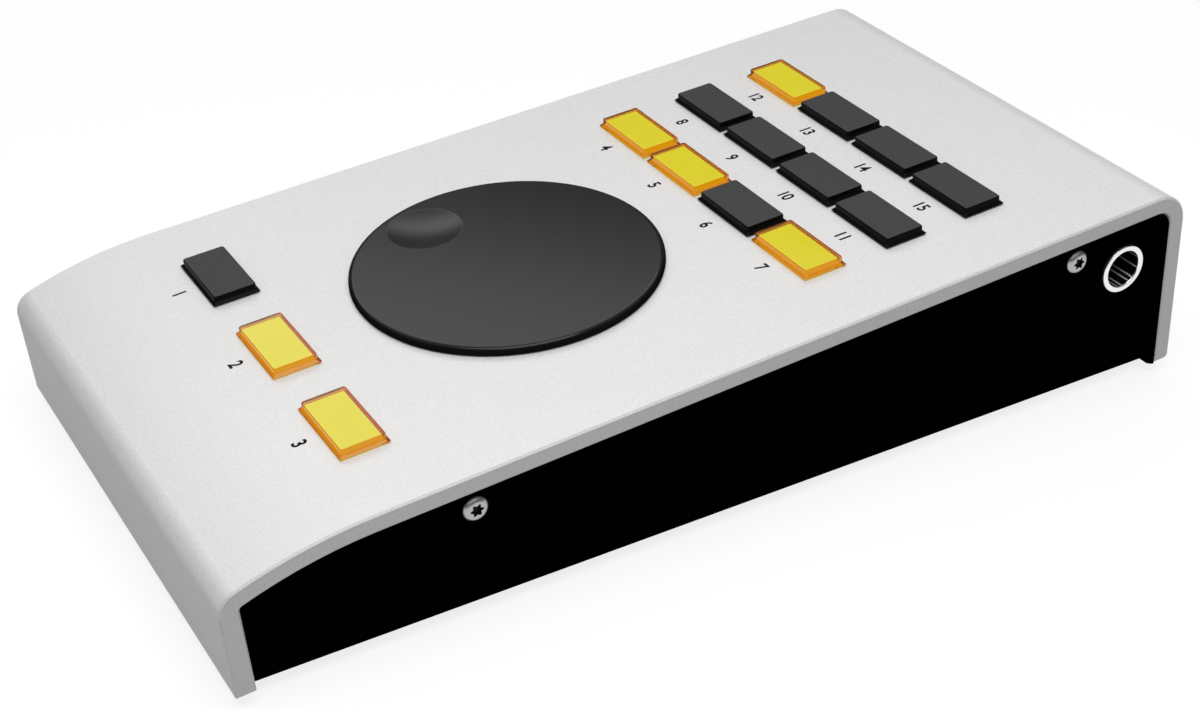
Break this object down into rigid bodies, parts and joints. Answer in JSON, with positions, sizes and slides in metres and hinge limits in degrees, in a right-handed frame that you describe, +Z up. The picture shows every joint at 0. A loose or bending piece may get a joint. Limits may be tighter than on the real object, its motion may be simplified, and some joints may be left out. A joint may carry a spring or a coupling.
{
  "type": "studio monitor controller",
  "caption": "Low wedge-shaped desk controller with a large flat dial, a front row of keys, a rear block of keys and a headphone jack on its right side.",
  "frame": {"origin": "centre of the footprint of the bounding box, on the surface that the feet stand on", "axes": "+X to the user's right, where the jack is; +Y away from the user, to the rear wall; +Z up"},
  "size_m": [0.089, 0.1694, 0.0347],
  "materials": {
    "cover": "bead-blasted and clear anodised",
    "tray": "black satin powder coat",
    "rubber": "matt",
    "screw": "plain steel",
    "bare_metal": "zinc-plated",
    "board": "green solder mask",
    "black_plastic": "moulded",
    "white_plastic": "moulded",
    "lamp": "clear resin",
    "chrome": "bright",
    "contact": "plated spring strip",
    "inlet_metal": "nickel-plated",
    "dial": "soft-touch black",
    "key_black": "satin black",
    "key_amber": "clear amber",
    "carrier": "moulded",
    "glow": "lit yellow light block"
  },
  "bodies": {
    "housing": {"top_shell": "cover", "base_tray": "tray", "rubber_feet": "rubber", "side_screws": "screw", "fixing_blocks": "bare_metal", "main_board": "board", "board_spacers": "bare_metal", "board_screws": "screw", "rear_board": "board", "board_header": "black_plastic", "switch_bodies": "black_plastic", "key_lamps": "lamp", "encoder_body": "bare_metal", "jack_body": "black_plastic", "jack_ferrule": "chrome", "jack_springs": "contact", "inlet_shell": "inlet_metal", "inlet_tongue": "white_plastic"},
    "dial": {"dial_knob": "dial", "encoder_shaft": "bare_metal"},
    "key_f1": {"keycap_f1": "key_black", "key_plunger_f1": "carrier"},
    "key_f2": {"keycap_f2": "key_amber", "key_plunger_f2": "carrier", "glow_insert_f2": "glow"},
    "key_f3": {"keycap_f3": "key_amber", "key_plunger_f3": "carrier", "glow_insert_f3": "glow"},
    "key_a1": {"keycap_a1": "key_amber", "key_plunger_a1": "carrier", "glow_insert_a1": "glow"},
    "key_a2": {"keycap_a2": "key_amber", "key_plunger_a2": "carrier", "glow_insert_a2": "glow"},
    "key_a3": {"keycap_a3": "key_black", "key_plunger_a3": "carrier"},
    "key_a4": {"keycap_a4": "key_amber", "key_plunger_a4": "carrier", "glow_insert_a4": "glow"},
    "key_b1": {"keycap_b1": "key_black", "key_plunger_b1": "carrier"},
    "key_b2": {"keycap_b2": "key_black", "key_plunger_b2": "carrier"},
    "key_b3": {"keycap_b3": "key_black", "key_plunger_b3": "carrier"},
    "key_b4": {"keycap_b4": "key_black", "key_plunger_b4": "carrier"},
    "key_c1": {"keycap_c1": "key_amber", "key_plunger_c1": "carrier", "glow_insert_c1": "glow"},
    "key_c2": {"keycap_c2": "key_black", "key_plunger_c2": "carrier"},
    "key_c3": {"keycap_c3": "key_black", "key_plunger_c3": "carrier"},
    "key_c4": {"keycap_c4": "key_black", "key_plunger_c4": "carrier"}
  },
  "joints": [
    {"name": "dial_spin", "type": "hinge", "parent": "housing", "child": "dial", "pos_m": [0, -0.01791, 0.02784], "axis": [0, -0.0725, 0.9974], "continuous": true},
    {"name": "key_press_f1", "type": "slide", "parent": "housing", "child": "key_f1", "axis": [0, 0.0725, -0.9974], "range_m": [0, 0.00025], "stiffness_N_per_m": 2000},
    {"name": "key_press_f2", "type": "slide", "parent": "housing", "child": "key_f2", "axis": [0, 0.0725, -0.9974], "range_m": [0, 0.00025], "stiffness_N_per_m": 2000},
    {"name": "key_press_f3", "type": "slide", "parent": "housing", "child": "key_f3", "axis": [0, 0.0725, -0.9974], "range_m": [0, 0.00025], "stiffness_N_per_m": 2000},
    {"name": "key_press_a1", "type": "slide", "parent": "housing", "child": "key_a1", "axis": [0, 0.0725, -0.9974], "range_m": [0, 0.00025], "stiffness_N_per_m": 2000},
    {"name": "key_press_a2", "type": "slide", "parent": "housing", "child": "key_a2", "axis": [0, 0.0725, -0.9974], "range_m": [0, 0.00025], "stiffness_N_per_m": 2000},
    {"name": "key_press_a3", "type": "slide", "parent": "housing", "child": "key_a3", "axis": [0, 0.0725, -0.9974], "range_m": [0, 0.00025], "stiffness_N_per_m": 2000},
    {"name": "key_press_a4", "type": "slide", "parent": "housing", "child": "key_a4", "axis": [0, 0.0725, -0.9974], "range_m": [0, 0.00025], "stiffness_N_per_m": 2000},
    {"name": "key_press_b1", "type": "slide", "parent": "housing", "child": "key_b1", "axis": [0, 0.0725, -0.9974], "range_m": [0, 0.00025], "stiffness_N_per_m": 2000},
    {"name": "key_press_b2", "type": "slide", "parent": "housing", "child": "key_b2", "axis": [0, 0.0725, -0.9974], "range_m": [0, 0.00025], "stiffness_N_per_m": 2000},
    {"name": "key_press_b3", "type": "slide", "parent": "housing", "child": "key_b3", "axis": [0, 0.0725, -0.9974], "range_m": [0, 0.00025], "stiffness_N_per_m": 2000},
    {"name": "key_press_b4", "type": "slide", "parent": "housing", "child": "key_b4", "axis": [0, 0.0725, -0.9974], "range_m": [0, 0.00025], "stiffness_N_per_m": 2000},
    {"name": "key_press_c1", "type": "slide", "parent": "housing", "child": "key_c1", "axis": [0, 0.0725, -0.9974], "range_m": [0, 0.00025], "stiffness_N_per_m": 2000},
    {"name": "key_press_c2", "type": "slide", "parent": "housing", "child": "key_c2", "axis": [0, 0.0725, -0.9974], "range_m": [0, 0.00025], "stiffness_N_per_m": 2000},
    {"name": "key_press_c3", "type": "slide", "parent": "housing", "child": "key_c3", "axis": [0, 0.0725, -0.9974], "range_m": [0, 0.00025], "stiffness_N_per_m": 2000},
    {"name": "key_press_c4", "type": "slide", "parent": "housing", "child": "key_c4", "axis": [0, 0.0725, -0.9974], "range_m": [0, 0.00025], "stiffness_N_per_m": 2000}
  ]
}
